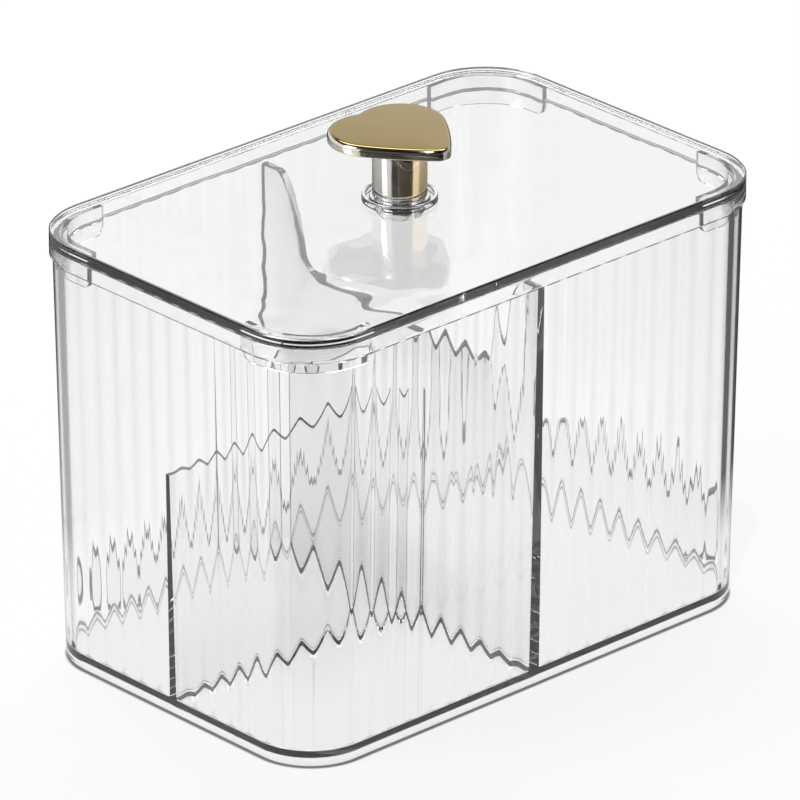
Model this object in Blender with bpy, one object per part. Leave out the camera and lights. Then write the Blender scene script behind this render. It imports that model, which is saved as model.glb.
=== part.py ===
# Clear moulded organizer box: a fluted tub with moulded-in dividers, a lift-off lid that
# four corner tabs locate, and a gold heart knob whose stem snaps into the lid.
# Units are metres, +Z is up, the origin is the middle of the underside, X runs along the
# box and -Y is the front.

import math

import bmesh
import bpy
from mathutils import Matrix, Vector

# Outline shared by the tub's rim and the lid
rim_length = 0.170
rim_depth = 0.1113
rim_corner_radius = 0.0206

# Tub
tub_height = 0.1201
rim_band_height = 0.0042
rim_overhang = 0.0009
rim_edge_round = 0.0004
wall_thickness = 0.0020
wall_draft = 0.0020
foot_height = 0.0020
foot_edge_round = 0.0012
foot_width = 0.0020
floor_thickness = 0.0018
floor_root_round = 0.0015

# Flutes on the inner faces of the tub
flute_pitch = 0.0072
flute_depth = 0.0004
flute_runout = 0.0006

# Divider across the tub, with a dip in its top edge
cross_top_thickness = 0.0023
cross_bottom_thickness = 0.0036
cross_top_drop = 0.0008
cross_dip_depth = 0.0271
cross_dip_half_width = 0.0315
cross_shoulder_length = 0.0055
cross_curve_share = 0.46

# Divider along the left half of the tub
long_height = 0.0655
long_top_thickness = 0.0014
long_bottom_thickness = 0.0026

# Both dividers
divider_edge_round = 0.0004
divider_root_flare = 0.0009
divider_root_height = 0.0022

# Lid
lid_thickness = 0.0026
lid_edge_round = 0.0014
lid_lower_edge_round = 0.0003
tab_drop = 0.0082
tab_thickness = 0.0015
tab_run = 0.0055
tab_end_round = 0.0024
pad_radius = 0.0081
pad_height = 0.0012
collar_radius = 0.0101
collar_thickness = 0.0011
collar_height = 0.0016
collar_edge_round = 0.0003

# Knob head
heart_width = 0.0340
heart_lobe_radius = 0.0121
heart_lobe_height = 0.0050
heart_tip_reach = 0.0179
heart_tip_radius = 0.0038
heart_notch_radius = 0.0031
heart_side_bulge = 0.0006
head_thickness = 0.0030
head_top_round = 0.0014
head_bottom_round = 0.0004
socket_depth = 0.0016

# Knob stem
stem_radius = 0.0073
stem_height = 0.0147
stem_edge_round = 0.0002
spigot_radius = 0.0048
neck_radius = 0.0063
barb_radius = 0.0069
barb_height = 0.0013
prong_reach = 0.0033
prong_tip_radius = 0.0058
prong_thickness = 0.0012
slot_width = 0.0020
slot_turn = math.radians(-6.0)
bore_depth = 0.0120

# Clearances
seat_gap = 0.0003
tab_clearance = 0.0004
bore_clearance = 0.0003
cut_overrun = 0.0010

# Counts
corner_steps = 12
flute_steps = 6
round_steps = 3
dip_steps = 10
turned_steps = 48
slot_count = 3
crease_angle = math.radians(35.0)

# Heights that follow from the sizes above
ledge_height = tub_height - rim_band_height
floor_height = foot_height + floor_thickness
lid_underside = tub_height + seat_gap
lid_top = lid_underside + lid_thickness
pad_top = lid_top + pad_height
stem_bottom = pad_top + seat_gap
stem_top = stem_bottom + stem_height
head_underside = stem_top + seat_gap


def clear_scene():
    for obj in list(bpy.data.objects):
        bpy.data.objects.remove(obj, do_unlink=True)


def make_material(name, color, roughness, metallic, transmission, ior):
    material = bpy.data.materials.new(name)
    material.use_nodes = True
    shader = material.node_tree.nodes["Principled BSDF"]
    shader.inputs["Base Color"].default_value = (*color, 1.0)
    shader.inputs["Roughness"].default_value = roughness
    shader.inputs["Metallic"].default_value = metallic
    shader.inputs["Transmission Weight"].default_value = transmission
    shader.inputs["IOR"].default_value = ior
    return material


def object_from(bm, name, origin=(0.0, 0.0, 0.0)):
    """Turn a bmesh in world space into an object whose origin is at the given point."""
    bmesh.ops.recalc_face_normals(bm, faces=bm.faces)
    if bm.calc_volume(signed=True) < 0.0:
        bmesh.ops.reverse_faces(bm, faces=bm.faces)
    bmesh.ops.translate(bm, verts=bm.verts, vec=-Vector(origin))
    mesh = bpy.data.meshes.new(name)
    bm.to_mesh(mesh)
    bm.free()
    mesh.shade_smooth()
    mesh.set_sharp_from_angle(angle=crease_angle)
    obj = bpy.data.objects.new(name, mesh)
    obj.location = origin
    bpy.context.scene.collection.objects.link(obj)
    return obj


def add_boolean(obj, other, operation):
    """Cut with, or join, a helper object that stays out of the model itself."""
    modifier = obj.modifiers.new(operation.title() + " " + other.name, "BOOLEAN")
    modifier.operation = operation
    modifier.solver = "EXACT"
    modifier.object = other
    other.hide_render = True
    other.display_type = "WIRE"


def path_sections(inset):
    """The rounded rectangle of the rim, moved inwards, as straight and curved sections.

    Each section is (kind, start or centre, direction or start angle, length or radius).
    The straights keep their length whatever the inset, so flutes on them stay upright.
    """
    half_x, half_y = rim_length / 2, rim_depth / 2
    run_x, run_y = half_x - rim_corner_radius, half_y - rim_corner_radius
    radius = rim_corner_radius - inset
    quarter = math.pi / 2
    return [
        ("straight", Vector((-run_x, inset - half_y)), 0.0, 2 * run_x),
        ("corner", Vector((run_x, -run_y)), -quarter, radius),
        ("straight", Vector((half_x - inset, -run_y)), quarter, 2 * run_y),
        ("corner", Vector((run_x, run_y)), 0.0, radius),
        ("straight", Vector((run_x, half_y - inset)), 2 * quarter, 2 * run_x),
        ("corner", Vector((-run_x, run_y)), quarter, radius),
        ("straight", Vector((inset - half_x, run_y)), 3 * quarter, 2 * run_y),
        ("corner", Vector((-run_x, -run_y)), 2 * quarter, radius),
    ]


def section_point(section, share):
    """A point of a section and the outward direction there."""
    kind, base, angle, size = section
    if kind == "straight":
        along = Vector((math.cos(angle), math.sin(angle)))
        return base + along * size * share, Vector((along.y, -along.x))
    turn = angle + share * math.pi / 2
    outward = Vector((math.cos(turn), math.sin(turn)))
    return base + outward * size, outward


def plain_ring(inset):
    """Outline points with the corners rounded in even steps."""
    points = []
    for section in path_sections(inset):
        if section[0] == "corner":
            points += [
                section_point(section, step / corner_steps)[0]
                for step in range(corner_steps + 1)
            ]
    return points


def flutes_in(section):
    length = section[3] if section[0] == "straight" else section[3] * math.pi / 2
    return max(1, round(length / flute_pitch))


def fluted_ring(inset, depth):
    """Outline points pushed outwards between ridges by shallow rounded flutes."""
    counts = [flutes_in(section) for section in path_sections(wall_thickness)]
    points = []
    for section, count in zip(path_sections(inset), counts):
        for step in range(count * flute_steps):
            point, outward = section_point(section, step / (count * flute_steps))
            phase = (step % flute_steps) / flute_steps
            points.append(point + outward * depth * math.sin(math.pi * phase))
    return points


def loft(rings):
    """One closed bmesh through rings of equal count; each ring is (points, height)."""
    bm = bmesh.new()
    loops = [
        [bm.verts.new((point.x, point.y, height)) for point in points]
        for points, height in rings
    ]
    for lower, upper in zip(loops, loops[1:]):
        count = len(lower)
        for i in range(count):
            j = (i + 1) % count
            bm.faces.new((lower[i], lower[j], upper[j], upper[i]))
    bm.faces.new(list(reversed(loops[0])))
    bm.faces.new(loops[-1])
    return bm


def round_levels(radius, steps=round_steps):
    """Pairs (inwards, upwards) along a quarter round, from its foot to its side."""
    return [
        (
            radius * (1 - math.sin(math.pi / 2 * step / steps)),
            radius * (1 - math.cos(math.pi / 2 * step / steps)),
        )
        for step in range(steps + 1)
    ]


def outer_inset(height):
    """How far the tub's outer wall face lies inside the rim's outline at a height."""
    rise = (ledge_height - height) / ledge_height
    return rim_overhang + wall_draft * rise


def make_turned(name, profile, origin=(0.0, 0.0, 0.0), steps=turned_steps):
    """Spin a closed (radius, height) profile once round the Z axis."""
    bm = bmesh.new()
    verts = [bm.verts.new((radius, 0.0, height)) for radius, height in profile]
    edges = [bm.edges.new((a, b)) for a, b in zip(verts, verts[1:])]
    if profile[0][0] > 0.0:
        edges.append(bm.edges.new((verts[-1], verts[0])))
    bmesh.ops.spin(
        bm,
        geom=verts + edges,
        cent=(0.0, 0.0, 0.0),
        axis=(0.0, 0.0, 1.0),
        angle=math.tau,
        steps=steps,
        use_merge=True,
    )
    bmesh.ops.remove_doubles(bm, verts=bm.verts, dist=seat_gap / 100)
    return object_from(bm, name, origin)


def make_tub():
    """Outer shell, hollowed by a fluted core from above and a shallow core from below."""
    outer = []
    for inwards, upwards in round_levels(foot_edge_round):
        outer.append((plain_ring(outer_inset(upwards) + inwards), upwards))
    outer.append((plain_ring(rim_overhang), ledge_height))
    outer.append((plain_ring(rim_edge_round), ledge_height))
    outer.append((plain_ring(0.0), ledge_height + rim_edge_round))
    outer.append((plain_ring(0.0), tub_height - rim_edge_round))
    outer.append((plain_ring(rim_edge_round), tub_height))
    tub = object_from(loft(outer), "box_body")

    core = []
    for inwards, upwards in round_levels(floor_root_round):
        height = floor_height + upwards
        inset = outer_inset(height) + wall_thickness + inwards
        core.append((fluted_ring(inset, flute_depth), height))
    top_inset = rim_overhang + wall_thickness
    core.append((fluted_ring(top_inset, flute_depth), ledge_height - flute_runout))
    core.append((fluted_ring(top_inset, 0.0), ledge_height))
    core.append((fluted_ring(top_inset, 0.0), tub_height + cut_overrun))
    add_boolean(tub, object_from(loft(core), "fluted_core"), "DIFFERENCE")

    foot_inset = outer_inset(0.0) + foot_width
    foot = loft([(plain_ring(foot_inset), -cut_overrun), (plain_ring(foot_inset), foot_height)])
    add_boolean(tub, object_from(foot, "foot_core"), "DIFFERENCE")
    return tub


def smooth_step_curve(start, end, share, steps):
    """Points of an S-curve that leaves and arrives level."""
    (x0, z0), (x3, z3) = start, end
    x1, x2 = x0 + (x3 - x0) * share, x3 - (x3 - x0) * share
    points = []
    for step in range(steps + 1):
        t = step / steps
        x = x0 * (1 - t) ** 3 + 3 * x1 * t * (1 - t) ** 2 + 3 * x2 * t**2 * (1 - t) + x3 * t**3
        z = z0 + (z3 - z0) * t * t * (3 - 2 * t)
        points.append((x, z))
    return points


def make_divider(name, profile, top_thickness, bottom_thickness, turn):
    """A drafted rib from a (run, height) profile whose first and last points are its foot."""
    bm = bmesh.new()
    foot_level = profile[0][1]
    top_level = max(height for _, height in profile)
    face = bm.faces.new([bm.verts.new((0.0, run, height)) for run, height in profile])
    made = bmesh.ops.extrude_face_region(bm, geom=[face])["geom"]
    far = [item for item in made if isinstance(item, bmesh.types.BMVert)]
    bmesh.ops.translate(bm, verts=far, vec=(bottom_thickness, 0.0, 0.0))
    for share in (1.0, 0.5, 0.2):
        level = floor_height + divider_root_height * share
        bmesh.ops.bisect_plane(
            bm,
            geom=bm.verts[:] + bm.edges[:] + bm.faces[:],
            plane_co=(0.0, 0.0, level),
            plane_no=(0.0, 0.0, 1.0),
        )
    for vert in bm.verts:
        rise = (vert.co.z - foot_level) / (top_level - foot_level)
        half = (bottom_thickness + (top_thickness - bottom_thickness) * rise) / 2
        flare = 1.0 - (vert.co.z - floor_height) / divider_root_height
        half += divider_root_flare * min(1.0, max(0.0, flare)) ** 2
        vert.co.x = half if vert.co.x > bottom_thickness / 2 else -half
    bm.normal_update()
    crest = [
        edge
        for edge in bm.edges
        if len(edge.link_faces) == 2
        and edge.calc_face_angle() > math.radians(60.0)
        and sum(abs(face.normal.x) < 0.5 and face.normal.z > 0.05 for face in edge.link_faces)
    ]
    bmesh.ops.bevel(
        bm,
        geom=crest,
        offset=divider_edge_round,
        offset_type="OFFSET",
        segments=2,
        profile=0.5,
        affect="EDGES",
        clamp_overlap=True,
    )
    bmesh.ops.rotate(bm, verts=bm.verts, matrix=Matrix.Rotation(turn, 3, "Z"))
    return object_from(bm, name)


def divider_end(half_size, height):
    """Where a divider stops inside the wall, half way through its thickness."""
    return half_size - outer_inset(height) - wall_thickness / 2


def cross_profile():
    top = ledge_height - cross_top_drop
    dip = top - cross_dip_depth
    foot = floor_height - floor_thickness / 2
    half = rim_depth / 2
    shoulder = half - rim_overhang - wall_thickness - cross_shoulder_length
    curve = smooth_step_curve(
        (shoulder, top), (cross_dip_half_width, dip), cross_curve_share, dip_steps
    )
    right = [(divider_end(half, foot), foot), (divider_end(half, top), top), *curve]
    return right + [(-run, height) for run, height in reversed(right)]


def long_profile():
    top = floor_height + long_height
    foot = floor_height - floor_thickness / 2
    half = rim_length / 2
    return [
        (0.0, foot),
        (0.0, top),
        (divider_end(half, top), top),
        (divider_end(half, foot), foot),
    ]


def tab_path(inset):
    """Points round the front right corner with straight ends, each with its distance
    from the nearer end, as far as the lower corners are rounded."""
    corner = path_sections(inset)[1]
    first, _ = section_point(corner, 0.0)
    last, _ = section_point(corner, 1.0)
    ends = [tab_end_round * share for share in (0.0, 0.12, 0.4, 1.0)]
    runs = [tab_run - end for end in ends]
    stations = [(first - Vector((run, 0.0)), end) for run, end in zip(runs, ends)]
    for step in range(corner_steps + 1):
        point, _ = section_point(corner, step / corner_steps)
        stations.append((point, tab_end_round))
    stations += [
        (last + Vector((0.0, run)), end) for run, end in zip(reversed(runs), reversed(ends))
    ]
    return stations


def make_tab(name, mirror_x, mirror_y):
    """A curved wall that hangs inside one corner of the rim, its lower ends rounded."""
    outer = tab_path(rim_overhang + wall_thickness + tab_clearance)
    inner = tab_path(rim_overhang + wall_thickness + tab_clearance + tab_thickness)
    bm = bmesh.new()
    loops = []
    for (outer_point, end), (inner_point, _) in zip(outer, inner):
        missing = tab_end_round - end
        lift = tab_end_round - math.sqrt(max(0.0, tab_end_round**2 - missing**2))
        low = lid_underside - tab_drop + lift
        high = lid_underside + lid_thickness / 2
        loops.append(
            [
                bm.verts.new((point.x * mirror_x, point.y * mirror_y, height))
                for point, height in (
                    (outer_point, low),
                    (inner_point, low),
                    (inner_point, high),
                    (outer_point, high),
                )
            ]
        )
    for one, two in zip(loops, loops[1:]):
        for i in range(4):
            bm.faces.new((one[i], one[(i + 1) % 4], two[(i + 1) % 4], two[i]))
    bm.faces.new(loops[0])
    bm.faces.new(loops[-1])
    return object_from(bm, name)


def make_lid():
    """Rounded plate with four corner tabs, a pad and a collar round the knob's hole."""
    rings = [
        (plain_ring(lid_lower_edge_round), lid_underside),
        (plain_ring(0.0), lid_underside + lid_lower_edge_round),
    ]
    for inwards, upwards in reversed(round_levels(lid_edge_round)):
        rings.append((plain_ring(inwards), lid_top - upwards))
    lid = object_from(loft(rings), "lid", (0.0, 0.0, lid_underside))

    for side_x, word_x in ((1, "right"), (-1, "left")):
        for side_y, word_y in ((1, "front"), (-1, "back")):
            tab = make_tab("tab_" + word_y + "_" + word_x, side_x, side_y)
            add_boolean(lid, tab, "UNION")

    inside = lid_underside + lid_thickness / 2
    pad = make_turned("knob_pad", [(0.0, pad_top), (pad_radius, pad_top), (pad_radius, inside), (0.0, inside)])
    add_boolean(lid, pad, "UNION")

    crown = lid_top + collar_height
    inner = collar_radius - collar_thickness
    collar = make_turned(
        "knob_collar",
        [
            (inner, inside),
            (inner, crown - collar_edge_round),
            (inner + collar_edge_round, crown),
            (collar_radius - collar_edge_round, crown),
            (collar_radius, crown - collar_edge_round),
            (collar_radius, inside),
        ],
    )
    add_boolean(lid, collar, "UNION")

    hole_radius = neck_radius + bore_clearance
    hole = make_turned(
        "knob_hole",
        [
            (0.0, pad_top + cut_overrun),
            (hole_radius, pad_top + cut_overrun),
            (hole_radius, lid_underside - cut_overrun),
            (0.0, lid_underside - cut_overrun),
        ],
    )
    add_boolean(lid, hole, "DIFFERENCE")
    return lid


def arc(centre, radius, start, end, steps):
    return [
        centre + radius * Vector((math.cos(angle), math.sin(angle)))
        for angle in (start + (end - start) * step / steps for step in range(steps + 1))
    ]


def heart_outline():
    """Right half from the notch to the tip as tangent arcs, then mirrored; tip at -Y."""
    lobe = Vector((heart_width / 2 - heart_lobe_radius, heart_lobe_height))
    tip = Vector((0.0, heart_tip_radius - heart_tip_reach))
    # The notch arc bulges down between the lobes and touches both.
    reach = heart_lobe_radius + heart_notch_radius
    notch = Vector((0.0, lobe.y + math.sqrt(max(0.0, reach**2 - lobe.x**2))))
    to_lobe = math.atan2(lobe.y - notch.y, lobe.x)
    # A wide arc joins lobe and tip, bulging a little outwards.
    span = tip - lobe
    chord = span.length
    lean = math.atan2(span.y, span.x)
    tilt = math.acos((heart_lobe_radius - heart_tip_radius) / chord)
    leave = lean + tilt
    bow = 4 * heart_side_bulge / chord
    points = arc(notch, heart_notch_radius, -math.pi / 2, to_lobe, 4)
    points += arc(lobe, heart_lobe_radius, to_lobe + math.pi, leave + bow, 14)[1:]
    foot = tip + heart_tip_radius * Vector((math.cos(leave - bow), math.sin(leave - bow)))
    last = points[-1]
    outward = Vector((math.cos(leave), math.sin(leave)))
    for step in range(1, 8):
        share = step / 8
        points.append(last.lerp(foot, share) + outward * heart_side_bulge * 4 * share * (1 - share))
    points += arc(tip, heart_tip_radius, leave - bow, -math.pi / 2, 5)
    return points + [Vector((-point.x, point.y)) for point in reversed(points[1:-1])]


def make_head():
    """Heart plate with a rounded rim and a blind socket in its underside."""
    bm = bmesh.new()
    face = bm.faces.new([bm.verts.new((p.x, p.y, head_underside)) for p in heart_outline()])
    made = bmesh.ops.extrude_face_region(bm, geom=[face])["geom"]
    top = [item for item in made if isinstance(item, bmesh.types.BMVert)]
    bmesh.ops.translate(bm, verts=top, vec=(0.0, 0.0, head_thickness))
    bm.normal_update()
    head_top = head_underside + head_thickness
    for level, width, steps in ((head_top, head_top_round, 3), (head_underside, head_bottom_round, 2)):
        rim = [
            edge
            for edge in bm.edges
            if all(abs(vert.co.z - level) < seat_gap / 10 for vert in edge.verts)
        ]
        bmesh.ops.bevel(
            bm, geom=rim, offset=width, segments=steps, profile=0.5, affect="EDGES"
        )
    head = object_from(bm, "knob_head", (0.0, 0.0, lid_top))
    socket_radius = spigot_radius + bore_clearance
    roof = head_underside + socket_depth
    low = head_underside - cut_overrun
    socket = make_turned(
        "head_socket", [(0.0, roof), (socket_radius, roof), (socket_radius, low), (0.0, low)]
    )
    add_boolean(head, socket, "DIFFERENCE")
    return head


def make_stem():
    """Turned stem: spigot for the head, shoulder on the pad, slotted snap prongs below."""
    spigot_top = head_underside + socket_depth - seat_gap
    barb_top = lid_underside - seat_gap
    barb_bottom = barb_top - barb_height
    prong_bottom = lid_underside - prong_reach
    bore_radius = neck_radius - prong_thickness
    bore_top = lid_underside + bore_depth
    edge = stem_edge_round
    profile = [
        (0.0, spigot_top),
        (spigot_radius - edge, spigot_top),
        (spigot_radius, spigot_top - edge),
        (spigot_radius, stem_top),
        (stem_radius - edge, stem_top),
        (stem_radius, stem_top - edge),
        (stem_radius, stem_bottom + edge),
        (stem_radius - edge, stem_bottom),
        (neck_radius, stem_bottom),
        (neck_radius, barb_top),
        (barb_radius, barb_top),
        (barb_radius, barb_bottom),
        (prong_tip_radius, prong_bottom),
        (bore_radius, prong_bottom),
        (bore_radius, bore_top),
        (0.0, bore_top),
    ]
    stem = make_turned("knob_stem", profile, (0.0, 0.0, lid_top))
    for index in range(slot_count):
        bm = bmesh.new()
        bmesh.ops.create_cube(bm, size=1.0)
        reach = barb_radius + cut_overrun
        low, high = prong_bottom - cut_overrun, lid_underside + lid_thickness / 2
        bmesh.ops.scale(bm, verts=bm.verts, vec=(slot_width, reach, high - low))
        bmesh.ops.translate(bm, verts=bm.verts, vec=(0.0, -reach / 2, (high + low) / 2))
        turn = slot_turn + index * math.tau / slot_count
        bmesh.ops.rotate(bm, verts=bm.verts, matrix=Matrix.Rotation(turn, 3, "Z"))
        add_boolean(stem, object_from(bm, f"prong_slot_{index + 1}"), "DIFFERENCE")
    return stem


def main():
    clear_scene()
    clear_plastic = (0.93, 0.95, 0.95)
    gold = (0.72, 0.60, 0.36)
    tub_finish = make_material("box_clear_plastic", clear_plastic, 0.03, 0.0, 1.0, 1.57)
    lid_finish = make_material("lid_clear_plastic", clear_plastic, 0.03, 0.0, 1.0, 1.57)
    head_finish = make_material("head_gold_plate", gold, 0.08, 1.0, 0.0, 1.45)
    stem_finish = make_material("stem_gold_plate", gold, 0.06, 1.0, 0.0, 1.45)

    tub = make_tub()
    cross = make_divider(
        "cross_divider", cross_profile(), cross_top_thickness, cross_bottom_thickness, 0.0
    )
    long = make_divider(
        "long_divider", long_profile(), long_top_thickness, long_bottom_thickness, math.pi / 2
    )
    add_boolean(tub, cross, "UNION")
    add_boolean(tub, long, "UNION")
    lid = make_lid()
    head = make_head()
    stem = make_stem()

    knob_axis = bpy.data.objects.new("knob_axis", None)
    knob_axis.location = (0.0, 0.0, lid_top)
    bpy.context.scene.collection.objects.link(knob_axis)
    for piece in (head, stem):
        piece.parent = knob_axis
        piece.location = (0.0, 0.0, 0.0)

    for piece, finish in (
        (tub, tub_finish),
        (lid, lid_finish),
        (head, head_finish),
        (stem, stem_finish),
    ):
        piece.data.materials.append(finish)


main()
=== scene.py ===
import math

import bmesh
import bpy
from mathutils import Matrix, Vector


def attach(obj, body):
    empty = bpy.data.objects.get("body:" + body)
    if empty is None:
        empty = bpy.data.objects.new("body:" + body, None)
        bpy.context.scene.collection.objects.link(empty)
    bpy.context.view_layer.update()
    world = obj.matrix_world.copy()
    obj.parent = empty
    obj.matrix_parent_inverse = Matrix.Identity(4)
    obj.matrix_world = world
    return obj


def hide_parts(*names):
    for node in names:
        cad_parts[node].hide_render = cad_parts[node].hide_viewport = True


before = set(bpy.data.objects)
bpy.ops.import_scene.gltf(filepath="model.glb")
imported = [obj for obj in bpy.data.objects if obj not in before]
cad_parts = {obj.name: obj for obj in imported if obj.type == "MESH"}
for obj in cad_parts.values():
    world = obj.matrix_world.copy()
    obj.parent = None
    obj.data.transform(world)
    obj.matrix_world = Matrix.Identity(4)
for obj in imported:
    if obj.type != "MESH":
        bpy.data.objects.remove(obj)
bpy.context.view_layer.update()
print("packed frame loaded:", sorted(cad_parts))


# Helpers for nodes

class Wire:
    # A node output that takes part in arithmetic; each operation adds its Math node
    def __init__(self, tree, socket):
        self.tree = tree
        self.socket = socket

    def math(self, operation, *others, first=None):
        values = [self] + list(others) if first is None else [first, self] + list(others)
        node = addNode(self.tree, "ShaderNodeMath", {"operation": operation}, dict(enumerate(values)))
        return Wire(self.tree, node.outputs[0])

    def __add__(self, other):
        return self.math("ADD", other)

    def __radd__(self, other):
        return self.math("ADD", other)

    def __sub__(self, other):
        return self.math("SUBTRACT", other)

    def __rsub__(self, other):
        return self.math("SUBTRACT", first=other)

    def __mul__(self, other):
        return self.math("MULTIPLY", other)

    def __rmul__(self, other):
        return self.math("MULTIPLY", other)

    def __truediv__(self, other):
        return self.math("DIVIDE", other)

    def __rtruediv__(self, other):
        return self.math("DIVIDE", first=other)

    def __pow__(self, other):
        return self.math("POWER", other)


def addNode(tree, kind, settings=None, values=None):
    # Settings come first, because a node's sockets can depend on them
    node = tree.nodes.new(kind)
    for name, value in (settings or {}).items():
        if name == "stops":  # of a colour ramp: (place, grey or colour)
            ramp = node.color_ramp
            while len(ramp.elements) > 1:
                ramp.elements.remove(ramp.elements[0])
            for index, (place, shade) in enumerate(value):
                stop = ramp.elements[0] if index == 0 else ramp.elements.new(place)
                stop.position = place
                stop.color = (shade, shade, shade, 1.0) if isinstance(shade, float) else (*shade, 1.0)
        else:
            setattr(node, name, value)
    for name, value in (values or {}).items():
        socket = node.inputs[name]
        if isinstance(value, Wire):
            tree.links.new(value.socket, socket)
        elif isinstance(value, bpy.types.NodeSocket):
            tree.links.new(value, socket)
        else:
            socket.default_value = value
    return node


def held(wire):
    # Keeps a value between 0 and 1
    return wire.math("MAXIMUM", 0).math("MINIMUM", 1)


def newMaterial(name):
    material = bpy.data.materials.new(name)
    material.use_nodes = True
    material.node_tree.nodes.clear()
    return material, material.node_tree


# Helpers for meshes

mergeDistance = 1e-6
cutOverrun = 0.001  # how far a cutting piece reaches past what it cuts


def objectFromBmesh(bm, name, recalculate=True):
    if recalculate:
        bmesh.ops.recalc_face_normals(bm, faces=bm.faces)
    if bm.calc_volume(signed=True) < 0:
        bmesh.ops.reverse_faces(bm, faces=bm.faces)
    mesh = bpy.data.meshes.new(name)
    bm.to_mesh(mesh)
    bm.free()
    obj = bpy.data.objects.new(name, mesh)
    bpy.context.scene.collection.objects.link(obj)
    return obj


def freezeModifiers(obj):
    # Leaves the object with the plain mesh that its modifiers make
    bpy.context.view_layer.update()
    evaluated = obj.evaluated_get(bpy.context.evaluated_depsgraph_get())
    mesh = bpy.data.meshes.new_from_object(evaluated)
    obj.modifiers.clear()
    obj.data = mesh
    mesh.name = obj.name
    return obj


def joinOrCut(obj, helpers, operation):
    for helper in helpers:
        modifier = obj.modifiers.new(operation + " " + helper.name, "BOOLEAN")
        modifier.operation = operation
        modifier.solver = "EXACT"
        modifier.object = helper
    freezeModifiers(obj)
    for helper in helpers:
        bpy.data.objects.remove(helper)
    return obj


def giveFinish(obj, sharpAngle, finish):
    obj.data.shade_smooth()
    obj.data.set_sharp_from_angle(angle=math.radians(sharpAngle))
    obj.data.materials.clear()
    obj.data.materials.append(finish)
    return obj


def loftRings(rings, name):
    # Closed solid through rings of equal count; each ring is (points, height)
    bm = bmesh.new()
    loops = [[bm.verts.new((p.x, p.y, height)) for p in points] for points, height in rings]
    for lower, upper in zip(loops, loops[1:]):
        for i in range(len(lower)):
            j = (i + 1) % len(lower)
            bm.faces.new((lower[i], lower[j], upper[j], upper[i]))
    bm.faces.new(list(reversed(loops[0])))
    bm.faces.new(loops[-1])
    return objectFromBmesh(bm, name)


def quarterRound(radius, steps):
    # (inwards, upwards) from the foot of a rounded edge to its side
    turns = [math.pi / 2 * step / steps for step in range(steps + 1)]
    return [(radius * (1 - math.sin(turn)), radius * (1 - math.cos(turn))) for turn in turns]


def spinProfile(profile, name, steps=96):
    # Solid of revolution round Z from (radius, height) points; a profile off the axis closes on itself
    bm = bmesh.new()
    verts = [bm.verts.new((radius, 0, height)) for radius, height in profile]
    edges = [bm.edges.new(pair) for pair in zip(verts, verts[1:])]
    if profile[0][0] > 0:
        edges.append(bm.edges.new((verts[-1], verts[0])))
    bmesh.ops.spin(
        bm, geom=verts + edges, cent=(0, 0, 0), axis=(0, 0, 1), angle=math.tau, steps=steps, use_merge=True
    )
    bmesh.ops.remove_doubles(bm, verts=bm.verts, dist=mergeDistance)
    return objectFromBmesh(bm, name)


# Outline shared by tub and lid

outlineSizes = {
    "length": 0.170,
    "depth": 0.1113,
    "cornerRadius": 0.0206,
}


def outlineSections():
    # (kind, start or centre, angle, length or radius) anticlockwise from the front left
    halfX, halfY = outlineSizes["length"] / 2, outlineSizes["depth"] / 2
    radius = outlineSizes["cornerRadius"]
    runX, runY = halfX - radius, halfY - radius
    quarter = math.pi / 2
    return [
        ("straight", Vector((-runX, -halfY)), 0.0, 2 * runX),
        ("corner", Vector((runX, -runY)), -quarter, radius),
        ("straight", Vector((halfX, -runY)), quarter, 2 * runY),
        ("corner", Vector((runX, runY)), 0.0, radius),
        ("straight", Vector((runX, halfY)), 2 * quarter, 2 * runX),
        ("corner", Vector((-runX, runY)), quarter, radius),
        ("straight", Vector((-halfX, runY)), 3 * quarter, 2 * runY),
        ("corner", Vector((-runX, -runY)), 2 * quarter, radius),
    ]


def outlineStation(section, share):
    # A point of the outline and the outward direction there
    kind, base, angle, size = section
    if kind == "straight":
        along = Vector((math.cos(angle), math.sin(angle)))
        return base + along * size * share, Vector((along.y, -along.x))
    turn = angle + share * math.pi / 2
    outward = Vector((math.cos(turn), math.sin(turn)))
    return base + outward * size, outward


def plainRing(inset, cornerSteps=32):
    points = []
    for section in outlineSections():
        if section[0] == "corner":
            for step in range(cornerSteps + 1):
                point, outward = outlineStation(section, step / cornerSteps)
                points.append(point - outward * inset)
    return points


# Tub: fluted shell, swept by Geometry Nodes

tubSizes = {
    "height": 0.1201,
    "rimBand": 0.0042,
    "rimOverhang": 0.0009,
    "rimRound": 0.0004,
    "ledgeGroove": 0.0003,
    "wall": 0.0020,
    "draft": 0.0020,
    "footHeight": 0.0020,
    "footWidth": 0.0020,
    "footRound": 0.0012,
    "floor": 0.0018,
    "floorRound": 0.0007,
    "smallRound": 0.0002,
    "support": 0.0003,  # how near the rows that keep a flat face flat lie to its edges
    "roundSteps": 6,  # of the foot and the floor
    "rimSteps": 4,
    "wallRows": (0.0, 0.33, 0.67, 1.0),
    "sharpAngle": 32,
}
fluteSizes = {
    "pitch": 0.0072,
    "depth": 0.00023,
    "runout": 0.0006,
    "runoutMiddle": 0.4,  # share of the runout where a flute has half its depth
    "hollowShare": 0.52,  # of the pitch; the rest is the rounded ridge
    "stepsPerFlute": 14,
}


def outerInset(height):
    # How far the outer wall lies inside the rim's outline at a height
    ledge = tubSizes["height"] - tubSizes["rimBand"]
    return tubSizes["rimOverhang"] + tubSizes["draft"] * (ledge - height) / ledge


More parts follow.
